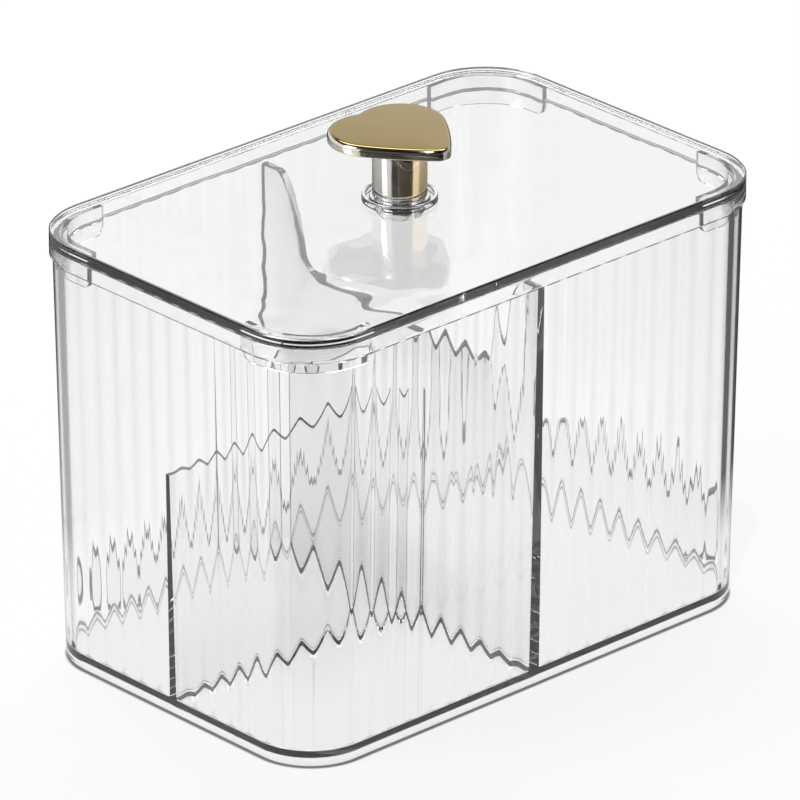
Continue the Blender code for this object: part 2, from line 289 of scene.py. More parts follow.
def fluteStations():
    # (point, outward direction, place within a flute from 0 to 1) round the whole outline
    stations = []
    steps = fluteSizes["stepsPerFlute"]
    wallInset = tubSizes["wall"]
    for section in outlineSections():
        kind, base, angle, size = section
        run = size if kind == "straight" else (size - wallInset) * math.pi / 2
        flutes = max(1, round(run / fluteSizes["pitch"]))
        for step in range(flutes * steps):
            point, outward = outlineStation(section, step / (flutes * steps))
            stations.append((point, outward, (step % steps) / steps))
    return stations


def tubSection():
    # (inset, share of the flutes, height) from the cavity under the floor, over the rim, to the floor
    s = tubSizes
    ledge = s["height"] - s["rimBand"]
    floorTop = s["footHeight"] + s["floor"]
    foot = outerInset(0) + s["footWidth"]
    small, support = s["smallRound"], s["support"]
    rows = [(foot + support + small, 0, s["footHeight"]), (foot + small, 0, s["footHeight"])]
    rows += [(foot, 0, s["footHeight"] - small), (foot, 0, small)]
    rows += [(foot - small, 0, 0)]
    for inwards, upwards in quarterRound(s["footRound"], s["roundSteps"]):
        rows.append((outerInset(upwards) + inwards, 0, upwards))
    overhang, edge, groove = s["rimOverhang"], s["rimRound"], s["ledgeGroove"]
    low, high = s["footRound"] + support, ledge - groove * 2 - support
    rows += [(outerInset(low), 0, low), (outerInset(high), 0, high)]
    rows += [(overhang, 0, ledge - groove * 2), (overhang + groove, 0, ledge - groove), (overhang, 0, ledge)]
    for inwards, upwards in quarterRound(edge, s["rimSteps"]):
        rows.append((inwards, 0, ledge + upwards))
    rows += [(0, 0, ledge + edge + support), (0, 0, s["height"] - edge - support)]
    for inwards, upwards in reversed(quarterRound(edge, s["rimSteps"])):
        rows.append((inwards, 0, s["height"] - upwards))
    inner = overhang + s["wall"]
    rows += [(edge + support, 0, s["height"]), (inner - small - support, 0, s["height"])]
    rows += [(inner - small, 0, s["height"]), (inner, 0, s["height"] - small)]
    rows += [(inner, 0, s["height"] - small - support), (inner, 0, ledge + support), (inner, 0, ledge)]
    runout = fluteSizes["runout"]
    rows += [(inner, 0.5, ledge - runout * fluteSizes["runoutMiddle"]), (inner, 1, ledge - runout)]
    low = floorTop + s["floorRound"] + support
    for share in s["wallRows"]:
        height = ledge - runout - support
        height += (low - height) * share
        rows.append((outerInset(height) + s["wall"], 1, height))
    for inwards, upwards in reversed(quarterRound(s["floorRound"], s["roundSteps"])):
        height = floorTop + upwards
        rows.append((outerInset(height) + s["wall"] + inwards, upwards / s["floorRound"], height))
    rows.append((outerInset(floorTop) + s["wall"] + s["floorRound"] + support, 0, floorTop))
    return rows


def fluteTree():
    # Sweeps the section round the outline and presses rounded flutes into the inner face
    tree = bpy.data.node_groups.new("fluted shell", "GeometryNodeTree")
    inputs = {
        "Geometry": "Geometry", "Section": "Object", "Columns": "Int", "Rows": "Int",
        "Flute Depth": "Float", "Hollow Share": "Float", "Finish": "Material",
    }
    for name, kind in inputs.items():
        tree.interface.new_socket(name, in_out="INPUT", socket_type="NodeSocket" + kind)
    tree.interface.new_socket("Geometry", in_out="OUTPUT", socket_type="NodeSocketGeometry")
    given = addNode(tree, "NodeGroupInput")
    columns, rows = Wire(tree, given.outputs["Columns"]), Wire(tree, given.outputs["Rows"])
    depth, share = Wire(tree, given.outputs["Flute Depth"]), Wire(tree, given.outputs["Hollow Share"])

    grid = addNode(
        tree, "GeometryNodeMeshGrid", None,
        {"Size X": columns, "Size Y": rows - 1, "Vertices X": columns + 1, "Vertices Y": rows},
    )
    position = addNode(tree, "GeometryNodeInputPosition").outputs[0]
    place = addNode(tree, "ShaderNodeSeparateXYZ", None, {0: position})
    column = (Wire(tree, place.outputs["X"]) + columns / 2).math("ROUND").math("FLOORED_MODULO", columns)
    row = (Wire(tree, place.outputs["Y"]) + (rows - 1) / 2).math("ROUND")

    def sampled(geometry, kind, value, index):
        node = addNode(
            tree, "GeometryNodeSampleIndex", {"data_type": kind, "domain": "POINT"},
            {"Geometry": geometry, "Value": value, "Index": index},
        )
        return node.outputs[0]

    def stored(kind, name):
        node = addNode(tree, "GeometryNodeInputNamedAttribute", {"data_type": kind}, {"Name": name})
        return node.outputs[0]

    path = given.outputs["Geometry"]
    point = sampled(path, "FLOAT_VECTOR", position, column)
    outward = sampled(path, "FLOAT_VECTOR", stored("FLOAT_VECTOR", "outward"), column)
    phase = Wire(tree, sampled(path, "FLOAT", stored("FLOAT", "phase"), column))
    section = addNode(tree, "GeometryNodeObjectInfo", None, {"Object": given.outputs["Section"]})
    sectionPoint = addNode(
        tree, "ShaderNodeSeparateXYZ", None,
        {0: sampled(section.outputs["Geometry"], "FLOAT_VECTOR", position, row)},
    )
    inset = Wire(tree, sectionPoint.outputs["X"])
    fluted = Wire(tree, sectionPoint.outputs["Y"])
    height = Wire(tree, sectionPoint.outputs["Z"])

    # A flute is a hollow arc that turns over into a narrower ridge, so its slope never jumps
    away = (phase - 0.5).math("ABSOLUTE")
    hollow = 1 - 4 / share * away * away
    ridge = 4 / (1 - share) * (0.5 - away) * (0.5 - away)
    inHollow = away.math("LESS_THAN", share / 2)
    wave = hollow * inHollow + ridge * (1 - inHollow)
    push = wave * fluted * depth - inset

    pushed = addNode(tree, "ShaderNodeVectorMath", {"operation": "SCALE"}, {0: outward, "Scale": push})
    lifted = addNode(tree, "ShaderNodeCombineXYZ", None, {"Z": height})
    flat = addNode(tree, "ShaderNodeVectorMath", {"operation": "ADD"}, {0: point, 1: pushed.outputs[0]})
    final = addNode(
        tree, "ShaderNodeVectorMath", {"operation": "ADD"}, {0: flat.outputs[0], 1: lifted.outputs[0]},
    )
    swept = addNode(
        tree, "GeometryNodeSetPosition", None,
        {"Geometry": grid.outputs["Mesh"], "Position": final.outputs[0]},
    )
    closed = addNode(
        tree, "GeometryNodeMergeByDistance", None,
        {"Geometry": swept.outputs[0], "Distance": mergeDistance},
    )
    real = addNode(tree, "GeometryNodeRealizeInstances", None, {"Geometry": closed.outputs[0]})
    painted = addNode(
        tree, "GeometryNodeSetMaterial", None,
        {"Geometry": real.outputs[0], "Material": given.outputs["Finish"]},
    )
    addNode(tree, "NodeGroupOutput", None, {"Geometry": painted.outputs[0]})
    return tree


def pointObject(name, points):
    mesh = bpy.data.meshes.new(name)
    mesh.from_pydata(points, [], [])
    obj = bpy.data.objects.new(name, mesh)
    bpy.context.scene.collection.objects.link(obj)
    return obj


def flutedShell(finish):
    stations = fluteStations()
    shell = pointObject("tubShell", [(p.x, p.y, 0) for p, outward, phase in stations])
    shell.data.attributes.new("outward", "FLOAT_VECTOR", "POINT")
    shell.data.attributes.new("phase", "FLOAT", "POINT")
    outwardLayer, phaseLayer = shell.data.attributes["outward"], shell.data.attributes["phase"]
    for index, (point, outward, phase) in enumerate(stations):
        outwardLayer.data[index].vector = (outward.x, outward.y, 0)
        phaseLayer.data[index].value = phase
    rows = tubSection()
    section = pointObject("tubSectionLine", rows)
    modifier = shell.modifiers.new("flutes", "NODES")
    modifier.node_group = fluteTree()
    given = {
        "Section": section,
        "Columns": len(stations),
        "Rows": len(rows),
        "Flute Depth": fluteSizes["depth"],
        "Hollow Share": fluteSizes["hollowShare"],
        "Finish": finish,
    }
    for item in modifier.node_group.interface.items_tree:
        if item.item_type == "SOCKET" and item.in_out == "INPUT" and item.name in given:
            modifier[item.identifier] = given[item.name]
    freezeModifiers(shell)
    bpy.data.objects.remove(section)
    # The sweep leaves the floor open above and below; a flat face closes each side
    bm = bmesh.new()
    bm.from_mesh(shell.data)
    openEdges = [edge for edge in bm.edges if edge.is_boundary]
    bmesh.ops.holes_fill(bm, edges=openEdges, sides=0)
    bpy.data.objects.remove(shell)
    return objectFromBmesh(bm, "clearTub")


# Dividers moulded into the tub

dividerSizes = {
    "crossTop": 0.0023,
    "crossBottom": 0.0036,
    "crossDrop": 0.0008,
    "dipDepth": 0.0271,
    "dipHalfWidth": 0.0315,
    "shoulderLength": 0.0055,
    "curveShare": 0.46,
    "longHeight": 0.0655,
    "longTop": 0.0014,
    "longBottom": 0.0026,
    "edgeRound": 0.0004,
    "rootFlare": 0.0005,
    "rootHeight": 0.0013,
    "rootRows": (1.0, 0.7, 0.45, 0.25, 0.1),
    "curveSteps": 28,
    "edgeSteps": 4,
    "crestAngle": 60,  # least angle between the faces of a top corner that is rounded
    "crestAcross": 0.5,  # a top face's normal has less than this across the divider
    "crestUp": 0.05,  # and more than this upwards
}


def dividerEnd(halfSize, height):
    return halfSize - outerInset(height) - tubSizes["wall"] / 2


def crossProfile():
    # (run, height) round the divider that stands across the tub, with its dip
    s = dividerSizes
    top = tubSizes["height"] - tubSizes["rimBand"] - s["crossDrop"]
    dip = top - s["dipDepth"]
    floorTop = tubSizes["footHeight"] + tubSizes["floor"]
    foot = floorTop - tubSizes["floor"] / 2
    half = outlineSizes["depth"] / 2
    shoulder = half - tubSizes["rimOverhang"] - tubSizes["wall"] - s["shoulderLength"]
    x0, x3 = shoulder, s["dipHalfWidth"]
    x1, x2 = x0 + (x3 - x0) * s["curveShare"], x3 - (x3 - x0) * s["curveShare"]
    curve = []
    for step in range(s["curveSteps"] + 1):
        t = step / s["curveSteps"]
        run = x0 * (1 - t) ** 3 + 3 * x1 * t * (1 - t) ** 2 + 3 * x2 * t * t * (1 - t) + x3 * t ** 3
        curve.append((run, top + (dip - top) * t * t * (3 - 2 * t)))
    right = [(dividerEnd(half, foot), foot), (dividerEnd(half, top), top)] + curve
    return right + [(-run, height) for run, height in reversed(right)]


def longProfile():
    s = dividerSizes
    floorTop = tubSizes["footHeight"] + tubSizes["floor"]
    top, foot = floorTop + s["longHeight"], floorTop - tubSizes["floor"] / 2
    half = outlineSizes["length"] / 2
    return [(0, foot), (0, top), (dividerEnd(half, top), top), (dividerEnd(half, foot), foot)]


def draftedDivider(name, profile, topThickness, bottomThickness, turn):
    s = dividerSizes
    bm = bmesh.new()
    foot = profile[0][1]
    top = max(height for run, height in profile)
    floorTop = tubSizes["footHeight"] + tubSizes["floor"]
    face = bm.faces.new([bm.verts.new((0, run, height)) for run, height in profile])
    made = bmesh.ops.extrude_face_region(bm, geom=[face])["geom"]
    far = [item for item in made if isinstance(item, bmesh.types.BMVert)]
    bmesh.ops.translate(bm, verts=far, vec=(bottomThickness, 0, 0))
    for share in s["rootRows"]:
        bmesh.ops.bisect_plane(
            bm, geom=bm.verts[:] + bm.edges[:] + bm.faces[:],
            plane_co=(0, 0, floorTop + s["rootHeight"] * share), plane_no=(0, 0, 1),
        )
    for vert in bm.verts:
        rise = (vert.co.z - foot) / (top - foot)
        half = (bottomThickness + (topThickness - bottomThickness) * rise) / 2
        flare = 1 - (vert.co.z - floorTop) / s["rootHeight"]
        half += s["rootFlare"] * min(1, max(0, flare)) ** 2
        vert.co.x = half if vert.co.x > bottomThickness / 2 else -half
    bm.normal_update()
    crest = [
        edge for edge in bm.edges
        if len(edge.link_faces) == 2 and edge.calc_face_angle() > math.radians(s["crestAngle"])
        and sum(abs(f.normal.x) < s["crestAcross"] and f.normal.z > s["crestUp"] for f in edge.link_faces)
    ]
    bmesh.ops.bevel(
        bm, geom=crest, offset=s["edgeRound"], offset_type="OFFSET", segments=s["edgeSteps"],
        profile=0.5, affect="EDGES", clamp_overlap=True,
    )
    bmesh.ops.rotate(bm, verts=bm.verts, matrix=Matrix.Rotation(turn, 3, "Z"))
    return objectFromBmesh(bm, name)


def makeTub(finish):
    s = dividerSizes
    tub = flutedShell(finish)
    cross = draftedDivider("crossDivider", crossProfile(), s["crossTop"], s["crossBottom"], 0)
    long = draftedDivider("longDivider", longProfile(), s["longTop"], s["longBottom"], math.pi / 2)
    joinOrCut(tub, [cross, long], "UNION")
    return giveFinish(tub, tubSizes["sharpAngle"], finish)


# Lid

lidSizes = {
    "underside": 0.1204,
    "thickness": 0.0026,
    "topBevel": 0.00035,
    "bevelSoft": 0.00010,  # round of the bevel's two corners
    "lowerSteps": 3,
    "lowerRound": 0.0003,
    "support": 0.0003,
    "tabDrop": 0.0082,
    "tabThickness": 0.0015,
    "tabClearance": 0.0004,
    "tabRun": 0.0055,
    "tabEndRound": 0.0024,
    "tabEdge": 0.00025,  # softened lower edge
    "tabEdgeCut": 0.3,  # share of it that stays where its corner is cut
    "tabEndSteps": 8,
    "tabCornerSteps": 32,
    "padRadius": 0.0081,
    "padEdge": 0.0002,
    "padHeight": 0.0012,
    "collarRadius": 0.0101,
    "collarThickness": 0.0011,
    "collarHeight": 0.0016,
    "collarRound": 0.0003,
    "collarSteps": 4,
    "holeRadius": 0.0066,
    "sharpAngle": 32,
}


def tabStations(inset):
    # Points round the front right corner with straight ends, each with how far its low edge is lifted
    s = lidSizes
    corner = outlineSections()[1]
    first, firstOut = outlineStation(corner, 0)
    last, lastOut = outlineStation(corner, 1)
    radius, endSteps, cornerSteps = s["tabEndRound"], s["tabEndSteps"], s["tabCornerSteps"]
    turns = [math.pi / 2 * step / endSteps for step in range(endSteps + 1)]
    ends = [(radius * (1 - math.cos(turn)), radius * (1 - math.sin(turn))) for turn in turns]
    stations = []
    for away, lift in ends:
        stations.append((first - firstOut * inset - Vector((s["tabRun"] - away, 0)), lift))
    for step in range(cornerSteps + 1):
        point, outward = outlineStation(corner, step / cornerSteps)
        stations.append((point - outward * inset, 0))
    for away, lift in reversed(ends):
        stations.append((last - lastOut * inset + Vector((0, s["tabRun"] - away)), lift))
    return stations


def makeTab(name, mirrorX, mirrorY):
    s = lidSizes
    inset = tubSizes["rimOverhang"] + tubSizes["wall"] + s["tabClearance"]
    outer, inner = tabStations(inset), tabStations(inset + s["tabThickness"])
    bm = bmesh.new()
    loops = []
    high = s["underside"] + s["thickness"] / 2
    edge, cut = s["tabEdge"], s["tabEdgeCut"]
    for (outerPoint, lift), (innerPoint, same) in zip(outer, inner):
        low = s["underside"] - s["tabDrop"] + lift
        across = (innerPoint - outerPoint).normalized() * edge
        ring = [
            (outerPoint, high), (outerPoint, low + edge), (outerPoint + across * cut, low + edge * cut),
            (outerPoint + across, low), (innerPoint - across, low),
            (innerPoint - across * cut, low + edge * cut), (innerPoint, low + edge), (innerPoint, high),
        ]
        loops.append([bm.verts.new((p.x * mirrorX, p.y * mirrorY, z)) for p, z in ring])
    for one, two in zip(loops, loops[1:]):
        for i in range(len(one)):
            j = (i + 1) % len(one)
            bm.faces.new((one[i], one[j], two[j], two[i]))
    bm.faces.new(loops[0])
    bm.faces.new(loops[-1])
    return objectFromBmesh(bm, name)


def makeLid(finish):
    s = lidSizes
    low, high = s["underside"], s["underside"] + s["thickness"]
    lower, upper, support, soft = s["lowerRound"], s["topBevel"], s["support"], s["bevelSoft"]
    rings = [(plainRing(lower + support), low)]
    for inwards, upwards in quarterRound(lower, s["lowerSteps"]):
        rings.append((plainRing(inwards), low + upwards))
    rings += [(plainRing(0), low + lower + support)]
    rings += [(plainRing(0), high - upper - soft - support)]
    # A flat bevel with both its corners softened
    for inset, level, degrees in ((0, high - upper, (0, 15, 30, 45)), (upper, high, (45, 60, 75, 90))):
        for turn in degrees:
            c, t = math.cos(math.radians(turn)), math.sin(math.radians(turn))
            rings.append((plainRing(inset + soft * (1 - c)), level - soft * (1 - t)))
    rings += [(plainRing(upper + soft + support), high)]
    lid = loftRings(rings, "clearLid")
    tabs = [
        makeTab("tab" + wordX + wordY, x, y)
        for x, wordX in ((1, "Right"), (-1, "Left")) for y, wordY in ((1, "Front"), (-1, "Back"))
    ]
    inside = low + s["thickness"] / 2
    padTop = high + s["padHeight"]
    pad = spinProfile(
        [(0, padTop), (s["padRadius"] - s["padEdge"], padTop), (s["padRadius"], padTop - s["padEdge"]),
         (s["padRadius"], inside), (0, inside)], "pad",
    )
    crown = high + s["collarHeight"]
    inner, outer = s["collarRadius"] - s["collarThickness"], s["collarRadius"]
    edge = quarterRound(s["collarRound"], s["collarSteps"])
    ringTop = [(inner + inwards, crown - upwards) for inwards, upwards in reversed(edge)]
    ringTop += [(outer - inwards, crown - upwards) for inwards, upwards in edge]
    collar = spinProfile([(inner, inside)] + ringTop + [(outer, inside)], "collar")
    joinOrCut(lid, tabs + [pad, collar], "UNION")
    hole = spinProfile(
        [(0, padTop + cutOverrun), (s["holeRadius"], padTop + cutOverrun),
         (s["holeRadius"], low - cutOverrun), (0, low - cutOverrun)], "hole",
    )
    joinOrCut(lid, [hole], "DIFFERENCE")
    return giveFinish(lid, s["sharpAngle"], finish)


# Knob

heartSizes = {
    "width": 0.0340,
    "lobeRadius": 0.0121,
    "lobeHeight": 0.0050,
    "tipReach": 0.0179,
    "tipRadius": 0.0038,
    "notchRadius": 0.0031,
    "sideBulge": 0.0006,
    "underside": 0.1395,
    "thickness": 0.0030,
    "topRound": 0.0014,
    "lowerRound": 0.0004,
    "dome": 0.00025,
    "middle": 0.0012,  # the dome's crown lies this far towards the notch
    "domeRings": (0.96, 0.88, 0.76, 0.62, 0.46, 0.3, 0.15, 0.05),
    "socketRadius": 0.0051,
    "socketDepth": 0.0016,
    "notchSteps": 10,
    "lobeSteps": 44,
    "sideSteps": 16,
    "tipSteps": 14,
    "lowerSteps": 4,
    "topSteps": 10,
    "sharpAngle": 40,
}
stemSizes = {
    "bottom": 0.1245,
    "top": 0.1392,
    "radius": 0.0073,
    "edge": 0.0002,
    "edgeSteps": 3,
    "spigotRadius": 0.0048,
    "spigotTop": 0.1408,
    "neckRadius": 0.0063,
    "barbRadius": 0.0069,
    "barbTop": 0.1201,
    "barbHeight": 0.0013,
    "prongBottom": 0.1171,
    "tipRadius": 0.0058,
    "prongThickness": 0.0012,
    "boreTop": 0.1324,
    "slotCount": 3,
    "slotWidth": 0.0020,
    "slotTurn": -6,
    "slotTop": 0.1217,
    "sharpAngle": 35,
}


def arcPoints(centre, radius, start, end, steps):
    turns = [start + (end - start) * step / steps for step in range(steps + 1)]
    return [centre + radius * Vector((math.cos(turn), math.sin(turn))) for turn in turns]


def heartOutline():
    # Right half from the notch to the tip as touching arcs, then mirrored; the tip points to -Y
    s = heartSizes
    lobe = Vector((s["width"] / 2 - s["lobeRadius"], s["lobeHeight"]))
    tip = Vector((0, s["tipRadius"] - s["tipReach"]))
    reach = s["lobeRadius"] + s["notchRadius"]
    notch = Vector((0, lobe.y + math.sqrt(reach ** 2 - lobe.x ** 2)))
    toLobe = math.atan2(lobe.y - notch.y, lobe.x)
    span = tip - lobe
    leave = math.atan2(span.y, span.x) + math.acos((s["lobeRadius"] - s["tipRadius"]) / span.length)
    bow = 4 * s["sideBulge"] / span.length
    points = arcPoints(notch, s["notchRadius"], -math.pi / 2, toLobe, s["notchSteps"])
    points += arcPoints(lobe, s["lobeRadius"], toLobe + math.pi, leave + bow, s["lobeSteps"])[1:]
    foot = tip + s["tipRadius"] * Vector((math.cos(leave - bow), math.sin(leave - bow)))
    last = points[-1]
    outward = Vector((math.cos(leave), math.sin(leave)))
    for step in range(1, s["sideSteps"]):
        share = step / s["sideSteps"]
        points.append(last.lerp(foot, share) + outward * s["sideBulge"] * 4 * share * (1 - share))
    points += arcPoints(tip, s["tipRadius"], leave - bow, -math.pi / 2, s["tipSteps"])
    return points + [Vector((-p.x, p.y)) for p in reversed(points[1:-1])]


def makeHead(finish):
    s = heartSizes
    low, high = s["underside"], s["underside"] + s["thickness"]
    outline = heartOutline()
    count = len(outline)
    normals = []
    for i in range(count):
        along = outline[(i + 1) % count] - outline[i - 1]
        normals.append(Vector((along.y, -along.x)).normalized())
    centre = sum(outline, Vector((0, 0))) / count
    side = 1 if normals[0].dot(outline[0] - centre) > 0 else -1
    normals = [normal * side for normal in normals]
    rings = []
    for inwards, upwards in quarterRound(s["lowerRound"], s["lowerSteps"]):
        rings.append(([p - n * inwards for p, n in zip(outline, normals)], low + upwards))
    for inwards, upwards in reversed(quarterRound(s["topRound"], s["topSteps"])):
        rings.append(([p - n * inwards for p, n in zip(outline, normals)], high - upwards))
    edgeRing = rings[-1][0]
    middle = Vector((0, s["middle"]))
    for share in s["domeRings"]:
        rise = s["dome"] * (1 - share ** 2)
        rings.append(([middle + (p - middle) * share for p in edgeRing], high + rise))
    head = loftRings(rings, "heartHead")
    socket = spinProfile(
        [(0, low + s["socketDepth"]), (s["socketRadius"], low + s["socketDepth"]),
         (s["socketRadius"], low - cutOverrun), (0, low - cutOverrun)], "socket",
    )
    joinOrCut(head, [socket], "DIFFERENCE")
    return giveFinish(head, s["sharpAngle"], finish)


def makeStem(finish):
    s = stemSizes
    edge, rounded = s["edge"], quarterRound(s["edge"], s["edgeSteps"])
    bore = s["neckRadius"] - s["prongThickness"]
    profile = [
        (0, s["spigotTop"]), (s["spigotRadius"] - edge, s["spigotTop"]),
        (s["spigotRadius"], s["spigotTop"] - edge), (s["spigotRadius"], s["top"]),
    ]
    profile += [(s["radius"] - a, s["top"] - b) for a, b in rounded]
    profile += [(s["radius"] - a, s["bottom"] + b) for a, b in reversed(rounded)]
    profile += [
        (s["neckRadius"], s["bottom"]), (s["neckRadius"], s["barbTop"]),
        (s["barbRadius"] - edge / 2, s["barbTop"]), (s["barbRadius"], s["barbTop"] - edge / 2),
        (s["barbRadius"], s["barbTop"] - s["barbHeight"]), (s["tipRadius"], s["prongBottom"]),
        (bore, s["prongBottom"]), (bore, s["boreTop"]), (0, s["boreTop"]),
    ]
    stem = spinProfile(profile, "goldStem")
    slots = []
    for index in range(s["slotCount"]):
        bm = bmesh.new()
        bmesh.ops.create_cube(bm, size=1)
        reach = s["barbRadius"] + cutOverrun
        low, high = s["prongBottom"] - cutOverrun, s["slotTop"]
        bmesh.ops.scale(bm, verts=bm.verts, vec=(s["slotWidth"], reach, high - low))
        bmesh.ops.translate(bm, verts=bm.verts, vec=(0, -reach / 2, (high + low) / 2))
        turn = math.radians(s["slotTurn"] + 360 / s["slotCount"] * index)
        bmesh.ops.rotate(bm, verts=bm.verts, matrix=Matrix.Rotation(turn, 3, "Z"))
        slots.append(objectFromBmesh(bm, f"slot{index + 1}"))
    joinOrCut(stem, slots, "DIFFERENCE")
    return giveFinish(stem, s["sharpAngle"], finish)


# Finishes

plasticLook = {
    "ior": 1.57,
    "clear": (1.0, 1.0, 1.0),
    "thicker": (0.985, 0.992, 0.99),
    "depthTint": (0.50, 0.52, 0.51),  # what a long way through the plastic leaves
    "depthDensity": 9.0,
    "clarity": 0.992,  # the rest is haze
    "shine": 0.15,
    "roughness": 0.004,
    "smudge": 0.012,
    "smudgeFrom": 0.55,  # level of the noise where smudges begin
    "tubFlow": 0.00002,  # height of the moulding's flow lines
    "lidFlow": 0.00110,
    "tubStretch": (1, 1, 0.2),
    "lidStretch": (0.6, 0.6, 1),
    "flowCorner": (-0.070, -0.044),  # the lid's waves are strongest at its near corner
    "flowReach": 0.095,
    "flowElsewhere": 0.25,
    "cloudScale": 38,
    "smudgeScale": 210,
    "flowScale": 60,
}
platingLook = {
    "patchScale": 90,
    "fingerScale": 260,
    "rippleScale": 120,
    "rippleHeight": 0.0002,
}
# The head's side is painted with reflections, near white on the left and near black on the right; its top
# turns a little lighter to the right
headLook = {
    "upperLeft": (0.33, 0.245, 0.09),
    "upperRight": (0.37, 0.275, 0.11),
    "lowerLeft": (0.78, 0.74, 0.64),
    "lowerRight": (0.08, 0.065, 0.045),
    "across": (1.0, 0.0),  # the way from the left colours to the right ones
    "span": 0.034,
    "change": 0.1422,  # height where the lower colours, the side's painted reflections, take over
    "blend": 0.0004,
    # how much patchy noise moves the split between the painted left and right colours
    "reflectionWobble": 0.25,
    "roughness": 0.05,
    "smudge": 0.08,
    "ripple": 0.03,
    "grain": (1, 1, 1),
}
# The stem's colours paint reflections: grey on the left and gold on the right as the camera sees it, and
# paler at its foot
stemLook = {
    "upperLeft": (0.66, 0.65, 0.62),
    "upperRight": (0.86, 0.68, 0.42),
    "lowerLeft": (0.93, 0.92, 0.90),
    "lowerRight": (0.84, 0.81, 0.76),
    "across": (0.731, -0.682),
    "span": 0.006,
    "change": 0.1255,
    "blend": 0.0010,
    # how much patchy noise moves the split between the painted left and right colours
    "reflectionWobble": 0.15,
    "roughness": 0.04,
    "smudge": 0.06,
    "ripple": 0.04,
    "grain": (0.3, 0.3, 2.5),
}


def noise(tree, spot, scale, detail):
    node = addNode(tree, "ShaderNodeTexNoise", None, {"Vector": spot, "Scale": scale, "Detail": detail})
    return node.outputs[0]


def clearPlastic(name, stretch, flowHeight):
    look = plasticLook
    material, tree = newMaterial(name)
    spot = addNode(tree, "ShaderNodeTexCoord").outputs["Object"]
    stretched = addNode(tree, "ShaderNodeMapping", None, {"Vector": spot, "Scale": stretch}).outputs[0]
    cloudy = noise(tree, spot, look["cloudScale"], 2)
    smudges = Wire(tree, noise(tree, spot, look["smudgeScale"], 3))
    flow = Wire(tree, noise(tree, stretched, look["flowScale"], 1))
    tint = addNode(
        tree, "ShaderNodeMix", {"data_type": "RGBA"},
        {0: cloudy, 6: (*look["clear"], 1), 7: (*look["thicker"], 1)},
    )
    smudged = (smudges - look["smudgeFrom"]).math("MAXIMUM", 0) / (1 - look["smudgeFrom"])
    rough = smudged * look["smudge"] + look["roughness"]
    place = addNode(tree, "ShaderNodeSeparateXYZ", None, {0: spot})
    cornerX, cornerY = look["flowCorner"]
    x, y = Wire(tree, place.outputs["X"]) - cornerX, Wire(tree, place.outputs["Y"]) - cornerY
    near = (1 - (x * x + y * y) ** 0.5 / look["flowReach"]).math("MAXIMUM", look["flowElsewhere"])
    bump = addNode(
        tree, "ShaderNodeBump", None,
        {"Strength": 1.0, "Distance": flowHeight, "Height": near * flow},
    )
    shader = addNode(
        tree, "ShaderNodeBsdfPrincipled", None,
        {"Base Color": tint.outputs[2], "Roughness": rough, "IOR": look["ior"],
         "Transmission Weight": look["clarity"], "Specular IOR Level": look["shine"],
         "Normal": bump.outputs[0]},
    )
    depth = addNode(
        tree, "ShaderNodeVolumeAbsorption", None,
        {"Color": (*look["depthTint"], 1), "Density": look["depthDensity"]},
    )
    addNode(
        tree, "ShaderNodeOutputMaterial", None,
        {"Surface": shader.outputs[0], "Volume": depth.outputs[0]},
    )
    return material


def goldPlate(name, look):
    material, tree = newMaterial(name)
    spot = addNode(tree, "ShaderNodeTexCoord").outputs["Object"]
    place = addNode(tree, "ShaderNodeSeparateXYZ", None, {0: spot})
    patch = Wire(tree, noise(tree, spot, platingLook["patchScale"], 2))
    finger = Wire(tree, noise(tree, spot, platingLook["fingerScale"], 4))
    lines = addNode(tree, "ShaderNodeMapping", None, {"Vector": spot, "Scale": look["grain"]}).outputs[0]
    ripple = noise(tree, lines, platingLook["rippleScale"], 1)

    def blended(factor, one, two):
        return addNode(tree, "ShaderNodeMix", {"data_type": "RGBA"}, {0: factor, 6: one, 7: two}).outputs[2]

    # Painted reflections: the colour changes from the left colours to the right ones, and from the side's to
    # the top's at a height
    alongX, alongY = look["across"]
    across = Wire(tree, place.outputs["X"]) * alongX + Wire(tree, place.outputs["Y"]) * alongY
    across = held(across / look["span"] + 0.5 + (patch - 0.5) * look["reflectionWobble"])
    upper = blended(across, (*look["upperLeft"], 1), (*look["upperRight"], 1))
    lower = blended(across, (*look["lowerLeft"], 1), (*look["lowerRight"], 1))
    onTop = held((Wire(tree, place.outputs["Z"]) - look["change"]) / look["blend"] + 0.5)
    colour = blended(onTop, lower, upper)
    rough = (finger - 0.5).math("MAXIMUM", 0) * look["smudge"] + look["roughness"]
    bump = addNode(
        tree, "ShaderNodeBump", None,
        {"Strength": look["ripple"], "Distance": platingLook["rippleHeight"], "Height": ripple},
    )
    shader = addNode(
        tree, "ShaderNodeBsdfPrincipled", None,
        {"Base Color": colour, "Roughness": rough, "Metallic": 1.0, "Normal": bump.outputs[0]},
    )
    addNode(tree, "ShaderNodeOutputMaterial", None, {"Surface": shader.outputs[0]})
    return material


# Pieces

tubFinish = clearPlastic("clear tub plastic", plasticLook["tubStretch"], plasticLook["tubFlow"])
lidFinish = clearPlastic("clear lid plastic", plasticLook["lidStretch"], plasticLook["lidFlow"])
headFinish = goldPlate("gold heart plating", headLook)
stemFinish = goldPlate("gold stem plating", stemLook)

tub = makeTub(tubFinish)
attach(tub, "box")
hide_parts("box_body")
print("tub made:", len(tub.data.polygons), "faces")

lid = makeLid(lidFinish)
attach(lid, "lid")
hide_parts("lid")
print("lid made:", len(lid.data.polygons), "faces")

head = makeHead(headFinish)
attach(head, "knob")
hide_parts("knob_head")
stem = makeStem(stemFinish)
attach(stem, "knob")
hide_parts("knob_stem")
print("knob made:", len(head.data.polygons) + len(stem.data.polygons), "faces")


# Studio

cameraSizes = {
    "azimuth": -43.009,
    "elevation": 24.635,
    "distance": 2.5906,
    "target": (-0.012123, -0.013093, 0.0730),
    "lens": 443.3,
    "sensor": 36,
    "clip": (0.1, 50),
}

